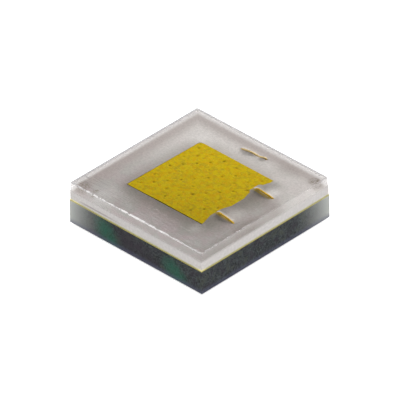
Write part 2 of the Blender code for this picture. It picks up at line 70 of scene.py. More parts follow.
camera_data = bpy.data.cameras.new("camera")
camera_data.lens = CAMERA_LENS
camera_data.sensor_width = 36.0
camera_data.clip_start = 1 * MM
camera_data.clip_end = 2.0
camera = bpy.data.objects.new("camera", camera_data)
bpy.context.scene.collection.objects.link(camera)
place = AIM + right * AIM_RIGHT + up * AIM_UP + to_camera * CAMERA_DISTANCE
turn = Matrix((right, up, to_camera)).transposed().to_4x4()
camera.matrix_world = Matrix.Translation(place) @ turn
bpy.context.scene.camera = camera
bpy.context.scene.view_settings.view_transform = "Standard"

# ----------------------------------------
# Solder pads: two contact strips and a thermal pad on the underside, copper
# plated up on the ceramic and finished in nickel and a thin coat of gold.
# The plating leaves a fine even grain, so the pads shine softly.

PAD_GOLD = "D9B878"
PAD_GOLD_DEEP = "C29A55"
PLATING_GRAIN = 0.03 * MM
PLATING_RELIEF = 0.002 * MM


def linear(colour):
    """An sRGB hex colour as linear light, with full alpha."""
    shares = [int(colour[n:n + 2], 16) / 255 for n in (0, 2, 4)]
    light = [s / 12.92 if s <= 0.04045 else ((s + 0.055) / 1.055) ** 2.4 for s in shares]
    return (*light, 1.0)


def add_node(material, kind, inputs=None, **settings):
    """Adds a node. An input given a node or one of its outputs is linked, any other is set."""
    tree = material.node_tree
    made = tree.nodes.new("ShaderNode" + kind)
    for name, value in settings.items():
        setattr(made, name, value)
    for key, value in (inputs or {}).items():
        if isinstance(key, int):
            socket = made.inputs[key]
        else:
            socket = next(s for s in made.inputs if s.name == key and s.enabled)
        if isinstance(value, bpy.types.Node):
            value = next(s for s in value.outputs if s.enabled)
        if isinstance(value, bpy.types.NodeSocket):
            tree.links.new(value, socket)
        else:
            socket.default_value = value
    return made


def new_material(name):
    """An empty material, and the Object coordinates that its patterns read."""
    made = bpy.data.materials.new(name)
    made.use_nodes = True
    made.node_tree.nodes.clear()
    return made, add_node(made, "TexCoord").outputs["Object"]


def coat(material, *pieces):
    """Gives the pieces this material in place of what they have."""
    for piece in pieces:
        piece.data.materials.clear()
        piece.data.materials.append(material)


plated_gold, coords = new_material("electroless gold on nickel")
grain = add_node(plated_gold, "TexNoise", {
    "Vector": coords, "Scale": 1 / PLATING_GRAIN, "Detail": 4.0, "Roughness": 0.6})
tone = add_node(plated_gold, "Mix", {
    "Factor": grain, "A": linear(PAD_GOLD_DEEP), "B": linear(PAD_GOLD)}, data_type="RGBA")
relief = add_node(plated_gold, "Bump", {
    "Height": grain, "Strength": 0.25, "Distance": PLATING_RELIEF})
shader = add_node(plated_gold, "BsdfPrincipled", {
    "Base Color": tone, "Metallic": 1.0, "Roughness": 0.34, "Normal": relief})
add_node(plated_gold, "OutputMaterial", {"Surface": shader})
coat(plated_gold, nodes["anode_pad"], nodes["cathode_pad"], nodes["thermal_pad"])

# ----------------------------------------
# Ceramic tile: sintered dark aluminium nitride, sawn from a larger panel. The
# sawn sides are matt and speckled, and green where the sinter aid gathers.
# Painted light makes them paler at the outer corners, where light shines
# through the tile, and violet along the lower edge where light gets under.

CERAMIC_DARK = "101214"
CERAMIC_MIDDLE = "42484A"
CERAMIC_PAINTED_GLOW = "A6A8A5"
CERAMIC_GREEN = "1E5845"
CERAMIC_VIOLET = "54566E"
CERAMIC_PLUM = "2E2830"
CERAMIC_OLIVE = "3F423A"
GOLD_SMEAR = "C8BC6C"
# The real grains, of about 0.005 mm, are too fine to show, so they are drawn coarser
CERAMIC_GRAIN = 0.030 * MM
CERAMIC_RELIEF = 0.004 * MM
CERAMIC_BLOTCH = 0.16 * MM
# How far the blotches push the edge of a green or plum place in or out
GREEN_RAGGED = 0.06 * MM
# Each stain's colour, and where on the blotches, from 0 to 1, it starts and is full
CERAMIC_STAINS = ((CERAMIC_PLUM, 0.48, 0.36), (CERAMIC_OLIVE, 0.54, 0.66))
# Where the front side is green or plum: X and Z of the middle and the reach in mm, and weight
TINTED_PLACES = ((-0.20, 0.32, 0.55, 0.9, CERAMIC_PLUM), (0.30, 0.15, 0.45, 0.7, CERAMIC_PLUM),
                 (-0.86, 0.32, 0.36, 0.8, CERAMIC_GREEN), (-0.66, 0.14, 0.36, 0.8, CERAMIC_GREEN),
                 (0.94, 0.24, 0.36, 0.8, CERAMIC_GREEN), (1.12, 0.12, 0.32, 0.8, CERAMIC_GREEN))
# The left and the right corner, at (-x, -y) and (+x, +y), and how far painted light makes them
# pale
PAINTED_GLOW_CORNERS = ((-1, 1.00 * MM), (1, 1.02 * MM))
# The heights where the violet light and the gold that the saw smeared down begin and are full
VIOLET_LEVELS = (0.15 * MM, 0.03 * MM)
SMEAR_LEVELS = (0.520 * MM, 0.530 * MM)
tile_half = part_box("ceramic_substrate")[1].x


def near_place(material, coords, place, reach, weight=1.0, core=0.0, course="SMOOTHSTEP",
               ragged=0.0):
    """How near a point is to a place: 0 from the reach on, and the weight inside the core."""
    away = add_node(material, "VectorMath", {
        0: coords, 1: place}, operation="DISTANCE").outputs["Value"]
    away = add_node(material, "Math", {0: away, 1: ragged}, operation="ADD")
    return add_node(material, "MapRange", {
        "Value": away, "From Min": reach, "From Max": core * reach, "To Max": weight},
        interpolation_type=course)


def off_middle(material, coords, choice):
    """The larger or the smaller of a point's distances from the middle along X and along Y."""
    sides = add_node(material, "VectorMath", {0: coords}, operation="ABSOLUTE")
    sides = add_node(material, "SeparateXYZ", {"Vector": sides})
    return add_node(material, "Math", {
        0: sides.outputs["X"], 1: sides.outputs["Y"]}, operation=choice)


ceramic, coords = new_material("sintered dark aluminium nitride, sawn")
height = add_node(ceramic, "SeparateXYZ", {"Vector": coords}).outputs["Z"]
speckle = add_node(ceramic, "TexNoise", {
    "Vector": coords, "Scale": 1 / CERAMIC_GRAIN, "Detail": 2.0, "Roughness": 0.8})
speckle = add_node(ceramic, "MapRange", {"Value": speckle, "From Min": 0.38, "From Max": 0.62})
tone = add_node(ceramic, "Mix", {
    "Factor": speckle, "A": linear(CERAMIC_DARK), "B": linear(CERAMIC_MIDDLE)},
    data_type="RGBA")
blotches = add_node(ceramic, "TexNoise", {
    "Vector": coords, "Scale": 1 / CERAMIC_BLOTCH, "Detail": 3.0, "Roughness": 0.6})
layers = [(add_node(ceramic, "MapRange", {
    "Value": blotches, "From Min": start, "From Max": end, "To Max": 0.6}), colour)
    for colour, start, end in CERAMIC_STAINS]
ragged = add_node(ceramic, "MapRange", {
    "Value": blotches, "From Min": 0.3, "From Max": 0.7,
    "To Min": -GREEN_RAGGED, "To Max": GREEN_RAGGED})
patchy = add_node(ceramic, "MapRange", {"Value": speckle, "To Min": 0.6, "To Max": 1.0})
for x, z, reach, weight, colour in TINTED_PLACES:
    near = near_place(ceramic, coords, (x * MM, -tile_half, z * MM), reach * MM, weight,
                      ragged=ragged)
    near = add_node(ceramic, "Math", {0: near, 1: patchy}, operation="MULTIPLY")
    layers.append((near, colour))
along = add_node(ceramic, "VectorMath", {
    0: coords, 1: (1.0, 1.0, 0.0)}, operation="DOT_PRODUCT").outputs["Value"]
# Painted light: the corners are painted paler where light shines through the tile
for side, reach in PAINTED_GLOW_CORNERS:
    pale = add_node(ceramic, "MapRange", {
        "Value": along, "From Min": side * (2 * tile_half - reach),
        "From Max": side * 2 * tile_half, "To Max": 1.05})
    # Squared, it fades in a curve
    pale = add_node(ceramic, "Math", {0: pale, 1: pale}, operation="MULTIPLY")
    layers.append((pale, CERAMIC_PAINTED_GLOW))
low, smear = (add_node(ceramic, "MapRange", {
    "Value": height, "From Min": start, "From Max": end, "To Max": weight})
    for (start, end), weight in ((VIOLET_LEVELS, 0.6), (SMEAR_LEVELS, 0.75)))
at_side = add_node(ceramic, "MapRange", {
    "Value": off_middle(ceramic, coords, "MAXIMUM"), "From Min": tile_half - 0.010 * MM,
    "From Max": tile_half - 0.001 * MM})
low = add_node(ceramic, "Math", {0: low, 1: at_side}, operation="MULTIPLY")
for share, colour in (*layers, (low, CERAMIC_VIOLET), (smear, GOLD_SMEAR)):
    tone = add_node(ceramic, "Mix", {
        "Factor": share, "A": tone, "B": linear(colour)}, data_type="RGBA")
relief = add_node(ceramic, "Bump", {
    "Height": speckle, "Strength": 0.5, "Distance": CERAMIC_RELIEF})
shader = add_node(ceramic, "BsdfPrincipled", {
    "Base Color": tone, "Roughness": 0.7, "Specular IOR Level": 0.15, "Normal": relief})
add_node(ceramic, "OutputMaterial", {"Surface": shader})
coat(ceramic, nodes["ceramic_substrate"])

# ----------------------------------------
# Through-contacts: copper plated into drilled holes until they are full. It
# is as finely grained as the pads.

COPPER_DEEP = "A8623E"
COPPER_BRIGHT = "D08A60"

copper, coords = new_material("plated copper filling")
grain = add_node(copper, "TexNoise", {
    "Vector": coords, "Scale": 1 / PLATING_GRAIN, "Detail": 3.0})
tone = add_node(copper, "Mix", {
    "Factor": grain, "A": linear(COPPER_DEEP), "B": linear(COPPER_BRIGHT)}, data_type="RGBA")
shader = add_node(copper, "BsdfPrincipled", {
    "Base Color": tone, "Metallic": 1.0, "Roughness": 0.4})
add_node(copper, "OutputMaterial", {"Surface": shader})
coat(copper, *(nodes[f"{side}_via_{number}"]
               for side in ("anode", "cathode") for number in (1, 2, 3)))

# ----------------------------------------
# Conductors: gold-finished copper on top of the tile. Only the rim reaches
# the package's sides, where the saw leaves its cut edge as a thin yellow line.

RIM_CUT = "CAC6A2"
RIM_SMEARED = "A09E70"
RIM_BRIGHT = "E8DEA0"
RIM_MIDDLE = 0.55 * MM
# How far the rim is scraped bright round the -X and the +X end of its front side
BRIGHT_ENDS = ((-1, 0.34 * MM), (1, 0.14 * MM))
RIM_SCRAPED = 0.8
SAW_MARK = 0.05 * MM

rim_gold, coords = new_material("sawn edge of gilded copper")
marks = add_node(rim_gold, "TexNoise", {"Vector": coords, "Scale": 1 / SAW_MARK, "Detail": 3.0})
tone = add_node(rim_gold, "Mix", {
    "Factor": marks, "A": linear(RIM_SMEARED), "B": linear(RIM_CUT)}, data_type="RGBA")
for end, reach in BRIGHT_ENDS:
    near = near_place(rim_gold, coords, (end * tile_half, -tile_half, RIM_MIDDLE), reach,
                      RIM_SCRAPED, core=0.5, course="LINEAR")
    tone = add_node(rim_gold, "Mix", {
        "Factor": near, "A": tone, "B": linear(RIM_BRIGHT)}, data_type="RGBA")
shader = add_node(rim_gold, "BsdfPrincipled", {
    "Base Color": tone, "Metallic": 0.0, "Roughness": 0.5})
add_node(rim_gold, "OutputMaterial", {"Surface": shader})
coat(rim_gold, nodes["rim_metal"])
coat(plated_gold, nodes["chip_pad"], nodes["wire_pad"], nodes["chip_bond_pad_1"],
     nodes["chip_bond_pad_2"], nodes["diode_bond_pad"])

# ----------------------------------------
# Solder layers: a thin tin alloy under the chip and under the diode, reflowed
# to a dull grey with small frozen grains.

SOLDER_GREY = "8E9092"
SOLDER_BRIGHT = "B4B6B8"
SOLDER_GRAIN = 0.02 * MM

solder, coords = new_material("reflowed tin solder")
grain = add_node(solder, "TexVoronoi", {"Vector": coords, "Scale": 1 / SOLDER_GRAIN})
tone = add_node(solder, "Mix", {
    "Factor": grain.outputs["Distance"], "A": linear(SOLDER_GREY), "B": linear(SOLDER_BRIGHT)},
    data_type="RGBA")
shader = add_node(solder, "BsdfPrincipled", {
    "Base Color": tone, "Metallic": 1.0, "Roughness": 0.45})
add_node(solder, "OutputMaterial", {"Surface": shader})
coat(solder, nodes["die_attach"], nodes["diode_attach"])

# ----------------------------------------
# Chip and protection diode: sawn silicon and nitride, dark and glassy. Only
# the chip's rim shows, as a thin dark line round the phosphor.

SILICON_DARK = "383A30"
SILICON_GREY = "545544"
SAW_STREAK = 0.01 * MM

silicon, coords = new_material("sawn silicon")
streaks = add_node(silicon, "TexNoise", {
    "Vector": coords, "Scale": 1 / SAW_STREAK, "Detail": 2.0})
tone = add_node(silicon, "Mix", {
    "Factor": streaks, "A": linear(SILICON_DARK), "B": linear(SILICON_GREY)}, data_type="RGBA")
shader = add_node(silicon, "BsdfPrincipled", {"Base Color": tone, "Roughness": 0.35})
add_node(silicon, "OutputMaterial", {"Surface": shader})
coat(silicon, nodes["led_chip"], nodes["esd_diode"])

# ----------------------------------------
# Phosphor layer: yellow powder bound in silicone and laid on the chip. Its
# grains make it lumpy and mottled, from olive to orange, and quite matt. It
# sinks into a small dip over each of the chip's inner contacts, and painted
# shade darkens the dips.

GRAIN_CELLS = 58
GRAIN_ROUGHNESS = 0.0035 * MM
DIP_RADIUS = 0.038 * MM
DIP_SINK = 0.013 * MM
DIP_MARGIN = (0.1475 * MM, 0.1745 * MM)
DIP_ROWS = 9
DIPS_IN_LONG_ROW = 6
DIP_DEPTHS = (0.9, 0.6, 1.1, 0.75)
# How the corners of the layer's -X side are pulled: shift along X and Y and reach, in mm
CORNER_PULLS = (("left", (0.0, -0.016), "LINEAR", 0.8), ("far", (0.026, 0.0), "LINEAR", 1.8),
                ("far", (0.022, -0.022), "SMOOTH", 0.10))
# Over each bond pad: how deep the notch goes, how far its middle lies from the pad's, its
# width inside and at the layer's edge, and its corners, all in mm. The first has a wide mouth.
NOTCHES = (("chip_bond_pad_1", 0.111, 0.00, 0.26, 0.38, 0.04),
           ("chip_bond_pad_1", 0.050, -0.03, 0.34, 0.70, 0.04),
           ("chip_bond_pad_2", 0.071, -0.03, 0.28, 0.72, 0.05))
# How far a notch's cutter stands out beyond the layer's edge, and over its two faces
CUTTER_OVERRUN = 0.03 * MM
CUTTER_RISE = 0.05 * MM
# Points this near a corner of the layer count as the corner
CORNER_SIZE = 0.03 * MM

phosphor_low, phosphor_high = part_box("phosphor_layer")
phosphor_middle = (phosphor_low + phosphor_high) / 2
phosphor_side = phosphor_high.x - phosphor_low.x


def pick(piece, kind, wanted):
    """Goes into edit mode with only the wanted points selected, or edges or faces by theirs."""
    bpy.context.view_layer.objects.active = piece
    bpy.ops.object.mode_set(mode="EDIT")
    bpy.ops.mesh.select_mode(type=kind)
    bpy.ops.mesh.select_all(action="DESELECT")
    bpy.ops.object.mode_set(mode="OBJECT")
    points = piece.data.vertices
    if kind == "VERT":
        for point in points:
            point.select = bool(wanted(point.co))
    else:
        for part in piece.data.edges if kind == "EDGE" else piece.data.polygons:
            part.select = bool(wanted([points[n].co for n in part.vertices]))
    bpy.ops.object.mode_set(mode="EDIT")


def shape(piece, kind, wanted, operator, **settings):
    """Uses one edit mode operator on the wanted points, edges or faces."""
    pick(piece, kind, wanted)
    operator(**settings)
    bpy.ops.object.mode_set(mode="OBJECT")


def pull(piece, wanted, shift, reach, falloff):
    """Moves the wanted points, and those round them less and less."""
    shape(piece, "VERT", wanted, bpy.ops.transform.translate, value=shift,
          use_proportional_edit=True, proportional_edit_falloff=falloff,
          proportional_size=reach)


def upright(ends):
    """Whether the edge between two ends stands up."""
    return abs(ends[0].z - ends[1].z) > 0.01 * MM


def new_block(name, low, high):
    """A block between two corners."""
    bpy.ops.object.select_all(action="DESELECT")
    bpy.ops.mesh.primitive_cube_add(size=1.0, location=(low + high) / 2, scale=high - low)
    block = bpy.context.object
    block.name = block.data.name = name
    bpy.ops.object.transform_apply(location=True, rotation=True, scale=True)
    return block


def new_sheet(name, cells, side, middle):
    """A square sheet, divided into cells both ways."""
    bpy.ops.object.select_all(action="DESELECT")
    bpy.ops.mesh.primitive_grid_add(
        x_subdivisions=cells, y_subdivisions=cells, size=side, location=middle)
    sheet = bpy.context.object
    sheet.name = sheet.data.name = name
    bpy.ops.object.transform_apply(location=True, rotation=True, scale=True)
    return sheet


def roughen(sheet, wanted, size, seed):
    """Shifts the wanted points at random and rounds the sheet between them."""
    shape(sheet, "VERT", wanted, bpy.ops.transform.vertex_random,
          offset=size, uniform=0.0, normal=0.0, seed=seed)
    rounding = sheet.modifiers.new("rounding", "SUBSURF")
    rounding.levels = rounding.render_levels = 1
    rounding.boundary_smooth = "PRESERVE_CORNERS"
    bpy.ops.object.modifier_apply(modifier=rounding.name)


def give_body(sheet, drop, bottom):
    """Extrudes a sheet down to a flat underside and turns all faces outward."""
    bpy.ops.object.mode_set(mode="EDIT")
    bpy.ops.mesh.select_all(action="SELECT")
    bpy.ops.mesh.extrude_region_move(TRANSFORM_OT_translate={"value": (0.0, 0.0, -drop)})
    bpy.ops.transform.resize(value=(1.0, 1.0, 0.0), center_override=(0.0, 0.0, bottom))
    bpy.ops.mesh.select_all(action="SELECT")
    bpy.ops.mesh.normals_make_consistent(inside=False)
    bpy.ops.object.mode_set(mode="OBJECT")


def notch_block(name, notch, grow, end, levels):
    """A block that widens outward from over a bond pad, grown all round by a little."""
    pad, depth, shift, inner, outer, corner = notch
    low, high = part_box(pad)
    across = (low.y + high.y) / 2 + shift * MM
    start = phosphor_high.x - depth * MM - grow
    flare = (outer - inner) / depth * (end - start)
    half_width = inner * MM / 2 + grow
    block = new_block(name, Vector((start, across - half_width, levels[0])),
                      Vector((end, across + half_width, levels[1])))
    halfway = (start + end) / 2
    shape(block, "VERT", lambda point: point.x > halfway, bpy.ops.transform.resize,
          value=(1.0, 1.0 + flare / (2 * half_width), 1.0), center_override=(end, across, 0.0))
    shape(block, "EDGE", lambda ends: upright(ends) and ends[0].x < halfway,
          bpy.ops.mesh.bevel, offset=corner * MM, segments=4, profile=0.5, affect="EDGES")
    return block


def cut(piece, tool):
    """Cuts the tool out of the piece and removes it."""
    bpy.context.view_layer.objects.active = piece
    change = piece.modifiers.new(tool.name, "BOOLEAN")
    change.operation = "DIFFERENCE"
    change.object = tool
    change.solver = "EXACT"
    bpy.ops.object.modifier_apply(modifier=change.name)
    bpy.data.objects.remove(tool)


def smooth(piece, degrees):
    """Shades a piece smooth, except over edges sharper than this."""
    bpy.ops.object.select_all(action="DESELECT")
    piece.select_set(True)
    bpy.context.view_layer.objects.active = piece
    bpy.ops.object.shade_smooth_by_angle(angle=math.radians(degrees))


powder = new_sheet(
    "phosphor_powder", GRAIN_CELLS, phosphor_side,
    (phosphor_middle.x, phosphor_middle.y, phosphor_high.z - GRAIN_ROUGHNESS))
roughen(powder, lambda point: True, GRAIN_ROUGHNESS, 3)

# The -X side runs slightly askew, and the far corner is blunt
for corner, shift, falloff, reach in CORNER_PULLS:
    place = Vector((phosphor_low.x, phosphor_high.y if corner == "far" else phosphor_low.y))
    pull(powder, lambda point: (point.xy - place).length < CORNER_SIZE,
         (shift[0] * MM, shift[1] * MM, 0.0), reach * MM, falloff)

columns = np.arange(2 * DIPS_IN_LONG_ROW - 1)
rows = np.arange(DIP_ROWS)
span = Vector((phosphor_side - 2 * DIP_MARGIN[0], phosphor_side - 2 * DIP_MARGIN[1]))
dips = np.array([
    (phosphor_low.x + DIP_MARGIN[0] + span.x * column / (len(columns) - 1),
     phosphor_low.y + DIP_MARGIN[1] + span.y * row / (len(rows) - 1))
    for row in rows for column in columns if (row + column) % 2 == 0])
for number, depth in enumerate(DIP_DEPTHS):
    centres = dips[number::len(DIP_DEPTHS)]
    pull(powder, lambda point: np.min(np.hypot(*(centres - (point.x, point.y)).T))
         < 0.4 * DIP_RADIUS, (0.0, 0.0, -depth * DIP_SINK), DIP_RADIUS, "SMOOTH")

give_body(powder, phosphor_high.z - phosphor_low.z, phosphor_low.z)
for notch in NOTCHES:
    cut(powder, notch_block(
        "notch", notch, 0.0, phosphor_high.x + CUTTER_OVERRUN,
        (phosphor_low.z - CUTTER_RISE, phosphor_high.z + CUTTER_RISE)))
smooth(powder, 50)

PHOSPHOR_YELLOW = "B7A00A"
PHOSPHOR_OLIVE = "95821E"
PHOSPHOR_ORANGE = "BA8A02"
PHOSPHOR_PALE = "CCB540"
PHOSPHOR_DIP_SHADE = "84700E"
# The real grains are about 0.02 mm, drawn here twice as large so that they show
PHOSPHOR_GRAIN = 0.050 * MM
PHOSPHOR_FINES = 0.02 * MM
PHOSPHOR_CLOUD = 0.09 * MM
PHOSPHOR_RELIEF = 0.004 * MM
# The heights where the painted shade in a dip begins and is full
DIP_SHADE_LEVELS = (phosphor_high.z - 0.006 * MM, phosphor_high.z - 0.018 * MM)
# Painted light: the layer is painted brighter towards the far corner, the side the light comes
# from
LIT_TOWARDS = (-0.5, 1.0, 0.0)
LIT_FROM_TO = (-1.4 * MM, 1.5 * MM)

phosphor, coords = new_material("yellow phosphor powder in silicone")
height = add_node(phosphor, "SeparateXYZ", {"Vector": coords}).outputs["Z"]
grain = add_node(phosphor, "TexVoronoi", {"Vector": coords, "Scale": 1 / PHOSPHOR_GRAIN})
shade = add_node(phosphor, "SeparateColor", {"Color": grain.outputs["Color"]}).outputs["Red"]
fines, clouds = (add_node(phosphor, "TexNoise", {
    "Vector": coords, "Scale": 1 / size, "Detail": 3.0, "Roughness": roughness})
    for size, roughness in ((PHOSPHOR_FINES, 0.7), (PHOSPHOR_CLOUD, 0.6)))
tone = linear(PHOSPHOR_YELLOW)
# Each pattern with where its colour starts and is full on it, and how strong it gets
for pattern, (start, end), weight, course, colour in (
        (shade, (0.35, 1.0), 0.75, "LINEAR", PHOSPHOR_OLIVE),
        (clouds, (0.46, 0.64), 0.6, "LINEAR", PHOSPHOR_ORANGE),
        (fines, (0.52, 0.70), 0.6, "LINEAR", PHOSPHOR_PALE),
        # Painted shade: the deeper in a dip, the darker
        (height, DIP_SHADE_LEVELS, 1.0, "SMOOTHSTEP", PHOSPHOR_DIP_SHADE)):
    share = add_node(phosphor, "MapRange", {
        "Value": pattern, "From Min": start, "From Max": end, "To Max": weight},
        interpolation_type=course)
    tone = add_node(phosphor, "Mix", {
        "Factor": share, "A": tone, "B": linear(colour)}, data_type="RGBA")
# Painted light, brighter towards the far corner and darker towards the front
thickness = add_node(phosphor, "VectorMath", {
    0: coords, 1: LIT_TOWARDS}, operation="DOT_PRODUCT").outputs["Value"]
thickness = add_node(phosphor, "MapRange", {
    "Value": thickness, "From Min": LIT_FROM_TO[0], "From Max": LIT_FROM_TO[1],
    "To Min": 0.81, "To Max": 1.15})
tone = add_node(phosphor, "VectorMath", {0: tone, 3: thickness}, operation="SCALE")
relief = add_node(phosphor, "Bump", {
    "Height": fines, "Strength": 0.5, "Distance": PHOSPHOR_RELIEF})
shader = add_node(phosphor, "BsdfPrincipled", {
    "Base Color": tone, "Roughness": 0.75, "Specular IOR Level": 0.02, "Normal": relief})
add_node(phosphor, "OutputMaterial", {"Surface": shader})
coat(phosphor, powder)
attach(powder, "root")
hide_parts("phosphor_layer")

# ----------------------------------------
# Bond wires: drawn gold, bonded with a ball on the chip or the diode and a
# pressed foot on the wire pad. Seen through the cover they are only half
# bright, and a film of the fill has stayed on the diode's, the farthest back.

WIRE_GOLD = "C4A022"
WIRE_TARNISH = "9A7820"
WIRE_FILMED = "BCAE92"
WIRE_STAIN = 0.08 * MM
FILMED_BEHIND = (1.0 * MM, 1.1 * MM)
WIRES = ("bond_wire_1", "bond_wire_2", "diode_wire")

wire_gold, coords = new_material("drawn gold wire")
stains = add_node(wire_gold, "TexNoise", {
    "Vector": coords, "Scale": 1 / WIRE_STAIN, "Detail": 3.0})
back = add_node(wire_gold, "SeparateXYZ", {"Vector": coords}).outputs["Y"]
filmed = add_node(wire_gold, "MapRange", {
    "Value": back, "From Min": FILMED_BEHIND[0], "From Max": FILMED_BEHIND[1], "To Max": 0.5})
tone = linear(WIRE_GOLD)
for share, colour in ((stains, WIRE_TARNISH), (filmed, WIRE_FILMED)):
    tone = add_node(wire_gold, "Mix", {
        "Factor": share, "A": tone, "B": linear(colour)}, data_type="RGBA")
shader = add_node(wire_gold, "BsdfPrincipled", {
    "Base Color": tone, "Metallic": 0.2, "Roughness": 0.5, "Specular IOR Level": 0.2})
add_node(wire_gold, "OutputMaterial", {"Surface": shader})
coat(wire_gold, *(nodes[name] for name in WIRES))

# ----------------------------------------
# White fill: silicone filled with white pigment, cast round the chip. While
# liquid it wets the chip's sides and climbs them in a smooth curve. Its outer
# walls are painted whiter than its skin, as painted light, since the skin
# under the cover gets less light.

COVER_THICKNESS = 0.178 * MM
FILL_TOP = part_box("clear_cover")[1].z - COVER_THICKNESS
FILL_SIDE_GAP = 0.0005 * MM
FILL_CELLS = 100
FILL_WAVES = 0.0011 * MM
CLIMB_REACH = 0.27 * MM
RIDGE_STEP = 0.006 * MM
RIDGE_REACH = 0.13 * MM
RIDGE_LEVELS = (0.010 * MM, 0.030 * MM, 0.050 * MM, 0.070 * MM)
# The swell inside the two far walls: how far from them, how high and how wide
SWELL_PLACE = 0.10 * MM
SWELL_RISE = 0.010 * MM
SWELL_REACH = 0.16 * MM
TRENCH_WIDTH = 0.015 * MM
TRENCH_SINK = 0.005 * MM
OVERLAP = 0.004 * MM
# The recess over the chip follows the phosphor's pulled corners: the left and the far one
RECESS_SHIFTS = ((False, (0.0, -0.010 * MM, 0.0)), (True, (0.038 * MM, 0.0, 0.0)))
RECESS_FAR_CORNER = 0.068 * MM
TOOL_HEIGHT = 0.1 * MM
COURSE_POINTS = 24

fill_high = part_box("white_fill")[1]
chip_low, chip_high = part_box("led_chip")
rim_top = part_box("rim_metal")[1].z
chip_middle = (chip_low + chip_high) / 2
fill_half = fill_high.x - FILL_SIDE_GAP
fill_cell = 2 * fill_half / FILL_CELLS


def wire_course(name):
    """The middle line of a wire that runs along X, as points in the order of their X."""
    wire = np.array([vertex.co for vertex in nodes[name].data.vertices])
    parts = np.array_split(wire[np.argsort(wire[:, 0])], COURSE_POINTS)
    return np.array([part.mean(axis=0) for part in parts])


def under_wire(course, level):
    """A test for points of the fill right under a wire where its middle is above a level."""
    def test(point):
        if not course[0, 0] < point.x < course[-1, 0]:
            return False
        across = abs(point.y - np.interp(point.x, course[:, 0], course[:, 1]))
        height = np.interp(point.x, course[:, 0], course[:, 2])
        return across < 0.6 * fill_cell and height > FILL_TOP + level
    return test


def over_phosphor(point):
    """Whether a point lies over the phosphor."""
    return (phosphor_low.x < point.x < phosphor_high.x
            and phosphor_low.y < point.y < phosphor_high.y)


fill = new_sheet("cast_white_fill", FILL_CELLS, 2 * fill_half, (0.0, 0.0, FILL_TOP))
pull(fill, over_phosphor, (0.0, 0.0, fill_high.z - FILL_TOP), CLIMB_REACH, "SHARP")
for name in WIRES:
    course = wire_course(name)
    for level in RIDGE_LEVELS:
        if course[:, 2].max() > FILL_TOP + level:
            pull(fill, under_wire(course, level), (0.0, 0.0, RIDGE_STEP), RIDGE_REACH, "SHARP")
pull(fill, lambda point: abs(min(fill_half - point.y, fill_half + point.x) - SWELL_PLACE)
     < 0.6 * fill_cell, (0.0, 0.0, SWELL_RISE), SWELL_REACH, "SMOOTH")
roughen(fill, lambda point: max(abs(point.x), abs(point.y)) < fill_half - fill_cell,
        FILL_WAVES, 5)
give_body(fill, fill_high.z - rim_top, rim_top)

# The recess is wider than the phosphor only on the -X and the -Y side
recess_low = Vector((phosphor_low.x - TRENCH_WIDTH, phosphor_low.y - TRENCH_WIDTH,
                     chip_high.z - TRENCH_SINK))
recess_high = Vector((phosphor_high.x - OVERLAP, phosphor_high.y - OVERLAP,
                      fill_high.z + TOOL_HEIGHT))
recess = new_block("recess", recess_low, recess_high)
for far, shift in RECESS_SHIFTS:
    shape(recess, "VERT", lambda point: point.x < 0 and (point.y > 0) == far,
          bpy.ops.transform.translate, value=shift)
shape(recess, "EDGE", lambda ends: upright(ends) and ends[0].x < 0 < ends[0].y,
      bpy.ops.mesh.bevel, offset=RECESS_FAR_CORNER, segments=3, profile=0.5, affect="EDGES")
for notch in NOTCHES:
    cut(recess, notch_block(
        "tongue", notch, OVERLAP, chip_high.x + TOOL_HEIGHT,
        (recess_low.z - CUTTER_RISE, recess_high.z + CUTTER_RISE)))
cut(fill, recess)
smooth(fill, 40)

SKIN_PINK = "A29695"
SKIN_GREEN = "9D9A95"
SKIN_LIT = "C3BEBA"
WALL_LIGHT_WHITE = "BFBBB9"
SHADE_BROWN = "5E564A"
TROUGH_SHADE = "9E938F"
SEAM_LIGHT = "CAC6C4"
SEAM_DARK = "857C7C"
SPECK_BROWN = "6E6558"
RIDGE_LIGHT = "F0EEEC"
MIRRORED_GOLD = "A08826"
SKIN_MOTTLE = 0.30 * MM
SKIN_RELIEF = 0.004 * MM
# The pigment itself is too fine to show, so its grain stands for the lumps in it
FILL_GRAIN = 0.045 * MM
# The painted shade round the chip, a halo: how round its corners are and how wide it is
HALO_CORNER = 0.25 * MM
HALO_WIDTH = 0.42 * MM
# Towards the bond pads' corner, away from the light, the painted shade is wider and darker: how
# the halo's width and depth change
SHADED_SIDE_FROM_TO = (-0.3 * MM, 0.7 * MM)
HALO_NARROWING = (1.45, 0.72)
HALO_DEPTH = (0.36, 0.62)
# Painted light and shade: the skin is painted paler towards the back, where the light comes from,
# and darker towards the front
LIT_SKIN_TOWARDS = (-0.25, 1.0, 0.0)
LIT_SKIN_FROM_TO = (-1.6 * MM, 1.6 * MM)
FRONT_SHADE_FROM_TO = (-0.8 * MM, 0.9 * MM)
# For each wire, in mm: its ends along X, the end of its painted shadow, its Y, and the shadow's
# reach, then how dark the painted shadow, how bright the ridge's painted light and how strong the
# painted reflection of the gold is
WIRE_SHADES = ((0.92, 1.38, 1.72, 0.565, 0.80, 0.46, 0.70, 0.75),
               (0.94, 1.38, 1.62, -0.475, 0.62, 0.10, 0.50, 0.85),
               (-0.20, 0.42, 0.36, 1.385, 0.30, 0.16, 0.42, 0.0))
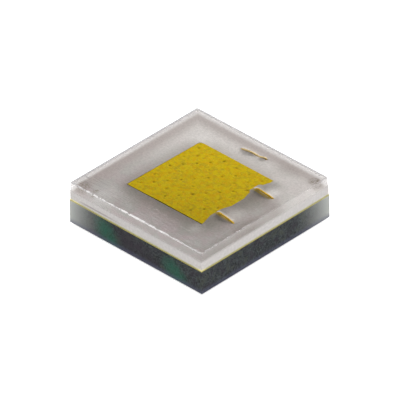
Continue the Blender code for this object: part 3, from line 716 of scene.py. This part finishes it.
# Places of the skin with painted light, paler, and painted shade, darker: X, Y and reach in mm,
# weight and colour
PAINTED_LIGHT_AND_SHADE_PLACES = ((1.22, -0.30, 0.34, 0.50, SKIN_LIT), (1.68, -0.35, 0.55, 0.42, SHADE_BROWN),
               (-1.05, -1.46, 0.50, 0.40, WALL_LIGHT_WHITE), (0.95, 1.12, 0.26, 0.25, SKIN_LIT),
               (0.97, -1.08, 0.24, 0.30, SKIN_LIT), (0.90, 1.50, 0.45, 0.30, SHADE_BROWN),
               (1.22, 0.72, 0.24, 0.35, RIDGE_LIGHT), (-0.98, 1.06, 0.42, 0.16, RIDGE_LIGHT))
# Where fine brown specks gather: X, Y and reach in mm
SPECK_PLACES = ((-1.52, -1.53, 0.19), (-1.24, -1.50, 0.09), (1.53, 1.51, 0.17))
# Where, along X and along Y, the painted shade inside the +X wall begins and is full
STRIP_X = (1.44 * MM, 1.62 * MM)
STRIP_Y = (0.5 * MM, -0.2 * MM)
# How far from the far walls the trough's painted shade and the seam's painted light begin and are
# full
TROUGH = (0.44 * MM, 0.16 * MM)
SEAM = (0.12 * MM, 0.03 * MM)
# How wide the painted light of the skin's paler rim is, and how far down the walls' painted light
# begins
RIM_WIDTH = 0.04 * MM
WALL_LIGHT_DEPTH = 0.05 * MM
# A faint line low on the -Y wall: its height, how far above and below it begins and is full,
# and in mm the ends along X where it begins and is full, and the wall that it is on
LINE_HEIGHT = 0.606 * MM
LINE_WIDTH = (0.024 * MM, 0.008 * MM)
LINE_RIGHT = (-0.20, -0.90)
LINE_LEFT = (-1.55, -1.25)
LINE_WALL = (-1.700, -1.712)

white, coords = new_material("white-filled silicone")
at_x, at_y, at_z = add_node(white, "SeparateXYZ", {"Vector": coords}).outputs
mottle = add_node(white, "TexNoise", {
    "Vector": coords, "Scale": 1 / SKIN_MOTTLE, "Detail": 3.0, "Roughness": 0.6})
mottle = add_node(white, "MapRange", {"Value": mottle, "From Min": 0.40, "From Max": 0.60})
# Painted light towards the back; the scale below paints shade towards the front
far = add_node(white, "VectorMath", {
    0: coords, 1: LIT_SKIN_TOWARDS}, operation="DOT_PRODUCT").outputs["Value"]
far = add_node(white, "MapRange", {
    "Value": far, "From Min": LIT_SKIN_FROM_TO[0], "From Max": LIT_SKIN_FROM_TO[1]})
tone = linear(SKIN_PINK)
for share, colour in ((mottle, SKIN_GREEN), (far, SKIN_LIT)):
    tone = add_node(white, "Mix", {
        "Factor": share, "A": tone, "B": linear(colour)}, data_type="RGBA")
painted_front_shade = add_node(white, "MapRange", {
    "Value": at_y, "From Min": FRONT_SHADE_FROM_TO[0], "From Max": FRONT_SHADE_FROM_TO[1],
    "To Min": 0.86, "To Max": 1.02}, interpolation_type="SMOOTHSTEP")
tone = add_node(white, "VectorMath", {0: tone, 3: painted_front_shade}, operation="SCALE")

# The halo of painted shade round the chip: how far a point lies outside the chip's square, its
# corners taken round
from_middle = add_node(white, "VectorMath", {
    0: coords, 1: (chip_middle.x, chip_middle.y, 0.0)}, operation="SUBTRACT")
core = (chip_high.x - chip_low.x) / 2 - HALO_CORNER
outside = add_node(white, "VectorMath", {0: from_middle}, operation="ABSOLUTE")
outside = add_node(white, "VectorMath", {0: outside, 1: (core, core, 1.0)}, operation="SUBTRACT")
outside = add_node(white, "VectorMath", {0: outside, 1: (0.0, 0.0, 0.0)}, operation="MAXIMUM")
gap = add_node(white, "VectorMath", {0: outside}, operation="LENGTH").outputs["Value"]
for amount, operation in ((HALO_CORNER, "SUBTRACT"), (0.0, "MAXIMUM")):
    gap = add_node(white, "Math", {0: gap, 1: amount}, operation=operation)
to_shaded_side = add_node(white, "VectorMath", {
    0: from_middle, 1: (1.0, -1.0, 0.0)}, operation="DOT_PRODUCT").outputs["Value"]
narrowing, depth = (add_node(white, "MapRange", {
    "Value": to_shaded_side, "From Min": SHADED_SIDE_FROM_TO[0], "From Max": SHADED_SIDE_FROM_TO[1],
    "To Min": first, "To Max": last}) for first, last in (HALO_NARROWING, HALO_DEPTH))
gap = add_node(white, "Math", {0: gap, 1: narrowing}, operation="MULTIPLY")
halo = add_node(white, "MapRange", {
    "Value": gap, "From Min": HALO_WIDTH, "From Max": 0.0}, interpolation_type="SMOOTHSTEP")
halo = add_node(white, "Math", {0: halo, 1: depth}, operation="MULTIPLY")
layers = [(halo, SHADE_BROWN)]

# Each wire dams up a low ridge; behind it painted light makes the ridge bright, in front of it a
# painted shadow falls, and right in front of it a painted reflection of the gold lies on the wet
# fill
for start, end, shade_end, across, reach, dark, light, gold in WIRE_SHADES:
    # Shares that rise from 0 at the first place to 1 at the second, in mm
    begun, not_over, before, near, close, shaded, around = (add_node(white, "MapRange", {
        "Value": axis, "From Min": first * MM, "From Max": second * MM},
        interpolation_type="SMOOTHSTEP") for axis, first, second in (
        (at_x, start - 0.10, start), (at_x, end, end - 0.12),
        (at_y, across + 0.02, across - 0.02), (at_y, across - reach, across),
        (at_y, across + 0.10, across + 0.01), (at_x, shade_end + 0.20, shade_end),
        (at_y, across + 0.14, across - 0.26)))
    over, under = (add_node(white, "MapRange", {
        "Value": at_y, "From Min": (across + first) * MM, "From Max": (across + second) * MM})
        for first, second in ((0.020, 0.005), (-0.070, -0.045)))
    behind = add_node(white, "Math", {0: 1.0, 1: before}, operation="SUBTRACT")
    # Beyond the wire's end the shade fades away on both sides
    in_front = add_node(white, "Mix", {"Factor": not_over, "A": around, "B": before})
    for share, others, colour in (
            (in_front, (near, begun, shaded, dark), SHADE_BROWN),
            (behind, (close, begun, not_over, light), RIDGE_LIGHT),
            (over, (under, begun, not_over, gold), MIRRORED_GOLD)):
        for other in others:
            share = add_node(white, "Math", {0: share, 1: other}, operation="MULTIPLY")
        layers.append((share, colour))
# Painted light and painted shade at single places of the skin
for x, y, reach, weight, colour in PAINTED_LIGHT_AND_SHADE_PLACES:
    layers.append((near_place(white, coords, (x * MM, y * MM, FILL_TOP), reach * MM, weight),
                   colour))

# Painted shade darkens the strip along the +X wall towards the front, and along the two far
# walls a trough of painted shade lies inside a seam of painted light against the cover's wall
strip = add_node(white, "MapRange", {
    "Value": at_x, "From Min": STRIP_X[0], "From Max": STRIP_X[1], "To Max": 0.24},
    interpolation_type="SMOOTHSTEP")
frontward = add_node(white, "MapRange", {
    "Value": at_y, "From Min": STRIP_Y[0], "From Max": STRIP_Y[1]})
strip = add_node(white, "Math", {0: strip, 1: frontward}, operation="MULTIPLY")
from_back = add_node(white, "Math", {0: fill_high.x, 1: at_y}, operation="SUBTRACT")
from_left = add_node(white, "Math", {0: fill_high.x, 1: at_x}, operation="ADD")
from_wall = add_node(white, "Math", {0: from_back, 1: from_left}, operation="MINIMUM")
trough, seam = (add_node(white, "MapRange", {
    "Value": from_wall, "From Min": start, "From Max": end, "To Max": weight},
    interpolation_type="SMOOTHSTEP")
    for (start, end), weight in ((TROUGH, 0.62), (SEAM, 1.0)))

# Painted light: towards the sawn walls the skin is painted paler, and the walls themselves
# whitest
outer = off_middle(white, coords, "MAXIMUM")
rim, at_wall, sawn = (add_node(white, "MapRange", {
    "Value": place, "From Min": start, "From Max": end, "To Max": weight})
    for place, start, end, weight in (
        (outer, fill_half - RIM_WIDTH, fill_half, 0.3),
        (outer, fill_half - 0.012 * MM, fill_half - 0.002 * MM, 1.0),
        (at_z, FILL_TOP, FILL_TOP - WALL_LIGHT_DEPTH, 1.0)))
sawn = add_node(white, "Math", {0: sawn, 1: at_wall}, operation="MULTIPLY")

# The faint line runs in from the left corner and ends before the middle
line = add_node(white, "Math", {0: at_z, 1: LINE_HEIGHT}, operation="SUBTRACT")
line = add_node(white, "Math", {0: line}, operation="ABSOLUTE")
line = add_node(white, "MapRange", {
    "Value": line, "From Min": LINE_WIDTH[0], "From Max": LINE_WIDTH[1]})
for axis, (start, end), weight in (
        (at_x, LINE_RIGHT, 1.0), (at_x, LINE_LEFT, 0.75), (at_y, LINE_WALL, 1.0)):
    share = add_node(white, "MapRange", {
        "Value": axis, "From Min": start * MM, "From Max": end * MM, "To Max": weight})
    line = add_node(white, "Math", {0: line, 1: share}, operation="MULTIPLY")
layers += [(strip, SHADE_BROWN), (trough, TROUGH_SHADE), (seam, SEAM_LIGHT), (rim, WALL_LIGHT_WHITE),
           (sawn, WALL_LIGHT_WHITE), (line, SEAM_DARK)]

specks = add_node(white, "TexNoise", {
    "Vector": coords, "Scale": 1 / FILL_GRAIN, "Detail": 2.0, "Roughness": 0.6})
specks = add_node(white, "MapRange", {
    "Value": specks, "From Min": 0.44, "From Max": 0.58, "To Max": 0.85})
for x, y, reach in SPECK_PLACES:
    share = near_place(white, coords, (x * MM, y * MM, FILL_TOP), reach * MM, core=0.3)
    share = add_node(white, "Math", {0: share, 1: specks}, operation="MULTIPLY")
    layers.append((share, SPECK_BROWN))
for share, colour in layers:
    tone = add_node(white, "Mix", {
        "Factor": share, "A": tone, "B": linear(colour)}, data_type="RGBA")
grain = add_node(white, "TexNoise", {
    "Vector": coords, "Scale": 1 / FILL_GRAIN, "Detail": 2.0, "Roughness": 0.7})
grain = add_node(white, "MapRange", {
    "Value": grain, "From Min": 0.30, "From Max": 0.70, "To Min": 0.88, "To Max": 1.12})
tone = add_node(white, "VectorMath", {0: tone, 3: grain}, operation="SCALE")
relief = add_node(white, "Bump", {"Height": mottle, "Strength": 0.2, "Distance": SKIN_RELIEF})
shader = add_node(white, "BsdfPrincipled", {
    "Base Color": tone, "Roughness": 0.6, "Specular IOR Level": 0.2, "Normal": relief})
add_node(white, "OutputMaterial", {"Surface": shader})
coat(white, fill)
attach(fill, "root")
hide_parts("white_fill")

# ----------------------------------------
# Clear cover: silicone cast over the fill and sawn square. It wets all that
# it covers, so no air is left under it, and its broken top edges catch light.

COVER_DEPTH_IN_FILL = 0.004 * MM
PLUG_MARGIN = 0.014 * MM
COVER_EDGE = 0.018 * MM
# The far and the right upright corner are worn round, the two others are nearly sharp
COVER_CORNER = 0.020 * MM
WORN_CORNER = 0.040 * MM
TOLERANCE = 0.001 * MM

cover_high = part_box("clear_cover")[1]
bottom = FILL_TOP - COVER_DEPTH_IN_FILL
cover_half = cover_high.x
cover = new_block("cast_clear_cover", Vector((-cover_half, -cover_half, bottom)), cover_high)
# Below, the silicone runs down round the phosphor as far as the chip
pick(cover, "FACE", lambda corners: all(corner.z < bottom + TOLERANCE for corner in corners))
plug_half = (chip_high.x - chip_low.x) / 2 + PLUG_MARGIN
bpy.ops.mesh.inset(thickness=cover_half - plug_half, depth=0.0)
bpy.ops.transform.translate(value=(chip_middle.x, chip_middle.y, 0.0))
bpy.ops.mesh.extrude_region_move(
    TRANSFORM_OT_translate={"value": (0.0, 0.0, chip_high.z - TOLERANCE - bottom)})
bpy.ops.object.mode_set(mode="OBJECT")
for worn, radius in ((True, WORN_CORNER), (False, COVER_CORNER)):
    shape(cover, "EDGE", lambda ends: upright(ends) and (ends[0].y > 0) == worn
          and min(abs(ends[0].x), abs(ends[0].y)) > cover_half - TOLERANCE,
          bpy.ops.mesh.bevel, offset=radius, segments=5, profile=0.5, affect="EDGES")
shape(cover, "EDGE", lambda ends: all(end.z > cover_high.z - TOLERANCE for end in ends),
      bpy.ops.mesh.bevel, offset=COVER_EDGE, segments=4, profile=0.5, affect="EDGES")
smooth(cover, 40)

SCUFF_GREY = "C6C6C9"
SCUFF_HIGHLIGHT_PALE = "F4F2F2"
CLEAR = "FFFFFF"
SILICONE_IOR = 1.41
NICK_SIZE = 0.09 * MM
SAWN_ROUGHNESS = 0.10
SCRATCH_LENGTH = 0.30 * MM
SCRATCH_WIDTH = 0.022 * MM
SCRATCH_TURN = math.radians(25)
WAVE_LENGTH = 0.3 * MM
WAVE_RELIEF = 0.002 * MM
BACK_SCUFF_WIDTH = 0.062 * MM
FRONT_SCUFF_WIDTH = 0.034 * MM
# How much of the light the scuffed places scatter, in part a painted highlight: in the front and
# at the right evenly and in the nicks, and at the upright corners from the left one to the right
# one
BACK_SCUFF = 0.36
FRONT_SCUFF = (0.36, 0.60)
RIGHT_SCUFF = (0.18, 0.14)
CORNER_SCUFF = (0.18, 0.50)
# Along X and in mm: where the fraying of the -Y edge widens, narrows again and dies down
FRAY_WIDENS = (-0.6, 0.0)
FRAY_NARROWS = (1.1, 0.6)
FRAY_DIES = (1.2, 0.7)
# Along Y: where that of the +X edge fades
FRAY_FADES = (-0.60 * MM, -0.20 * MM)

clear, coords = new_material("clear silicone")
at_x, at_y, at_z = add_node(clear, "SeparateXYZ", {"Vector": coords}).outputs
outer = off_middle(clear, coords, "MAXIMUM")
inner = off_middle(clear, coords, "MINIMUM")
# The two front edges are frayed white, most of all the one at -Y, and this white is partly a
# painted highlight; the back ones are grey
in_front = add_node(clear, "VectorMath", {
    0: coords, 1: (1.0, -1.0, 0.0)}, operation="DOT_PRODUCT").outputs["Value"]
in_front = add_node(clear, "MapRange", {
    "Value": in_front, "From Min": -0.2 * MM, "From Max": 0.5 * MM})
# Halfway along the front the fraying is widest
wide, narrow = (add_node(clear, "MapRange", {
    "Value": at_x, "From Min": start * MM, "From Max": end * MM},
    interpolation_type="SMOOTHSTEP") for start, end in (FRAY_WIDENS, FRAY_NARROWS))
wide = add_node(clear, "Math", {0: wide, 1: narrow}, operation="MULTIPLY")
strong = add_node(clear, "MapRange", {"Value": wide, "To Min": 0.75, "To Max": 1.3})
wide = add_node(clear, "MapRange", {
    "Value": wide, "To Min": FRONT_SCUFF_WIDTH, "To Max": 1.6 * FRONT_SCUFF_WIDTH})
nicks = add_node(clear, "TexNoise", {
    "Vector": coords, "Scale": 1 / NICK_SIZE, "Detail": 3.0, "Roughness": 0.7})
nicks = add_node(clear, "MapRange", {"Value": nicks, "From Min": 0.38, "From Max": 0.60})
ragged = add_node(clear, "MapRange", {"Value": nicks, "To Min": 0.55, "To Max": 1.35})
wide = add_node(clear, "Math", {0: wide, 1: ragged}, operation="MULTIPLY")
width = add_node(clear, "Mix", {"Factor": in_front, "A": BACK_SCUFF_WIDTH, "B": wide})
inward = add_node(clear, "Math", {0: cover_half, 1: outer}, operation="SUBTRACT")
inward = add_node(clear, "Math", {0: inward, 1: width}, operation="DIVIDE")
at_side, at_top, at_front, at_corner, on_top = (add_node(clear, "MapRange", {
    "Value": place, "From Min": start, "From Max": end}) for place, start, end in (
    (inward, 1.0, 0.6),
    (at_z, cover_high.z - 1.3 * COVER_EDGE, cover_high.z - 0.6 * COVER_EDGE),
    (at_y, 0.04 * MM - cover_half, 0.02 * MM - cover_half),
    (inner, cover_half - 2.2 * COVER_CORNER, cover_half - 0.6 * COVER_CORNER),
    (at_z, cover_high.z - 0.004 * MM, cover_high.z - 0.001 * MM)))
even, uneven = (add_node(clear, "MapRange", {
    "Value": at_front, "To Min": at_right, "To Max": at_left})
    for at_right, at_left in zip(RIGHT_SCUFF, FRONT_SCUFF))
# Near the front corner the -Y edge's fraying dies down, and past the middle the +X edge's
calm = add_node(clear, "MapRange", {
    "Value": at_x, "From Min": FRAY_DIES[0] * MM, "From Max": FRAY_DIES[1] * MM,
    "To Min": 0.15, "To Max": 1.0})
calm = add_node(clear, "Math", {0: calm, 1: strong}, operation="MULTIPLY")
calm = add_node(clear, "Mix", {"Factor": at_front, "A": 1.0, "B": calm})
fading = add_node(clear, "MapRange", {
    "Value": at_y, "From Min": FRAY_FADES[0], "From Max": FRAY_FADES[1],
    "To Min": 1.0, "To Max": 0.45})
fading = add_node(clear, "Mix", {"Factor": at_front, "A": fading, "B": 1.0})
frayed_and_lit = nicks
for other, operation in ((uneven, "MULTIPLY"), (calm, "MULTIPLY"), (even, "ADD"),
                         (fading, "MULTIPLY")):
    frayed_and_lit = add_node(clear, "Math", {0: frayed_and_lit, 1: other}, operation=operation)
frayed_and_lit = add_node(clear, "Mix", {"Factor": in_front, "A": BACK_SCUFF, "B": frayed_and_lit})
for other in (at_side, at_top):
    frayed_and_lit = add_node(clear, "Math", {0: frayed_and_lit, 1: other}, operation="MULTIPLY")
# Of the upright corners the one at the right is the most scuffed, the scuff partly a painted
# highlight
to_right = add_node(clear, "VectorMath", {
    0: coords, 1: (1.0, 1.0, 0.0)}, operation="DOT_PRODUCT").outputs["Value"]
to_right = add_node(clear, "MapRange", {
    "Value": to_right, "From Min": 1.0 * MM, "From Max": 3.0 * MM,
    "To Min": CORNER_SCUFF[0], "To Max": CORNER_SCUFF[1]})
for other in (to_right, nicks):
    at_corner = add_node(clear, "Math", {0: at_corner, 1: other}, operation="MULTIPLY")
# Fine scratches lie beside the -Y edge
scratches = add_node(clear, "Mapping", {
    "Vector": coords, "Rotation": (0.0, 0.0, SCRATCH_TURN),
    "Scale": (1 / SCRATCH_LENGTH, 1 / SCRATCH_WIDTH, 1 / SCRATCH_LENGTH)})
scratches = add_node(clear, "TexNoise", {"Vector": scratches, "Scale": 1.0, "Detail": 0.0})
scratches = add_node(clear, "MapRange", {
    "Value": scratches, "From Min": 0.50, "From Max": 0.66, "To Max": 0.14})
beside = add_node(clear, "MapRange", {
    "Value": at_y, "From Min": 0.70 * MM - cover_half, "From Max": 0.10 * MM - cover_half},
    interpolation_type="SMOOTHSTEP")
for other in (beside, on_top):
    scratches = add_node(clear, "Math", {0: scratches, 1: other}, operation="MULTIPLY")
# The scuffs are partly real fraying and partly a painted highlight standing in for the lamps'
# glints on the edges
scuffed_and_lit = frayed_and_lit
for other in (at_corner, scratches):
    scuffed_and_lit = add_node(clear, "Math", {0: scuffed_and_lit, 1: other}, operation="MAXIMUM")
clearness = add_node(clear, "Math", {0: 1.0, 1: scuffed_and_lit}, operation="SUBTRACT")
# The saw leaves the sides slightly matt
gloss = add_node(clear, "MapRange", {"Value": scuffed_and_lit, "To Min": 0.02, "To Max": 0.5})
sawn = add_node(clear, "MapRange", {
    "Value": outer, "From Min": cover_half - 0.002 * MM,
    "From Max": cover_half - 0.0005 * MM, "To Max": SAWN_ROUGHNESS})
gloss = add_node(clear, "Math", {0: gloss, 1: sawn}, operation="MAXIMUM")
waves = add_node(clear, "TexNoise", {
    "Vector": coords, "Scale": 1 / WAVE_LENGTH, "Detail": 2.0})
relief = add_node(clear, "Bump", {"Height": waves, "Strength": 0.1, "Distance": WAVE_RELIEF})
scuff_tone = add_node(clear, "Mix", {
    "Factor": in_front, "A": linear(SCUFF_GREY), "B": linear(SCUFF_HIGHLIGHT_PALE)}, data_type="RGBA")
worn = add_node(clear, "MapRange", {"Value": scuffed_and_lit, "From Max": 0.1})
tone = add_node(clear, "Mix", {
    "Factor": worn, "A": linear(CLEAR), "B": scuff_tone}, data_type="RGBA")
shader = add_node(clear, "BsdfPrincipled", {
    "Base Color": tone, "Roughness": gloss, "IOR": SILICONE_IOR,
    "Transmission Weight": clearness, "Normal": relief})
add_node(clear, "OutputMaterial", {"Surface": shader})
coat(clear, cover)
cover.visible_shadow = False
cover.visible_diffuse = False
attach(cover, "root")
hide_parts("clear_cover")

# ----------------------------------------
# Studio: a plain white floor, a white room and three soft lamps, in front, on
# the left and behind, that draw the bright lines on the cover's top edges.

PAPER_WHITE = "FBFBFB"
PAPER_FIBRE = "F8F8F8"
FIBRE_SIZE = 0.5 * MM
PAPER_GLOW = 0.6
# How bright the room is overhead, at half height and low down, and where it changes between
# them, as the sine of the angle over the horizon
OVERHEAD = 0.30
HALF_HEIGHT = 0.06
LOW_DOWN = 1.0
OVERHEAD_RISES = (0.64, 0.80)
LOW_RISES = (0.46, 0.30)
LAMP_DISTANCE = 200 * MM
# The way to each lamp from the object, its width and height, and its power in watts
LAMPS = (("lamp_front", (-0.577, -0.330, 0.747), (36 * MM, 150 * MM), 0.15),
         ("lamp_back", (0.15, 0.88, 0.44), (90 * MM, 90 * MM), 0.45),
         ("lamp_left", (-0.85, -0.02, 0.50), (90 * MM, 90 * MM), 0.12))

floor = new_sheet("studio_floor", 8, 1000 * MM, (0.0, 0.0, 0.0))
paper, coords = new_material("plain white paper")
fibres = add_node(paper, "TexNoise", {"Vector": coords, "Scale": 1 / FIBRE_SIZE, "Detail": 3.0})
tone = add_node(paper, "Mix", {
    "Factor": fibres, "A": linear(PAPER_FIBRE), "B": linear(PAPER_WHITE)}, data_type="RGBA")
shader = add_node(paper, "BsdfPrincipled", {
    "Base Color": tone, "Roughness": 0.9, "Specular IOR Level": 0.1,
    "Emission Color": (1.0, 1.0, 1.0, 1.0), "Emission Strength": PAPER_GLOW})
add_node(paper, "OutputMaterial", {"Surface": shader})
coat(paper, floor)

world = bpy.data.worlds.new("white room")
world.use_nodes = True
world.node_tree.nodes.clear()
aim = add_node(world, "TexCoord").outputs["Generated"]
rise = add_node(world, "SeparateXYZ", {"Vector": aim}).outputs["Z"]
overhead, low_down = (add_node(world, "MapRange", {
    "Value": rise, "From Min": start, "From Max": end, "To Min": first, "To Max": last},
    interpolation_type="SMOOTHSTEP") for (start, end), first, last in (
    (OVERHEAD_RISES, 0.0, OVERHEAD), (LOW_RISES, HALF_HEIGHT, LOW_DOWN)))
light = add_node(world, "Math", {0: overhead, 1: low_down}, operation="ADD")
light = add_node(world, "Background", {"Strength": light})
add_node(world, "OutputWorld", {"Surface": light})
bpy.context.scene.world = world

for name, direction, (width, height), power in LAMPS:
    data = bpy.data.lights.new(name, "AREA")
    data.shape = "ELLIPSE"
    data.size = width
    data.size_y = height
    data.energy = power
    lamp = bpy.data.objects.new(name, data)
    bpy.context.scene.collection.objects.link(lamp)
    outward = Vector(direction).normalized()
    lengthwise = Vector((1.0, 0.0, 0.0)).cross(outward).normalized()
    crosswise = lengthwise.cross(outward)
    turn = Matrix((crosswise, lengthwise, outward)).transposed().to_4x4()
    lamp.matrix_world = Matrix.Translation(outward * LAMP_DISTANCE) @ turn
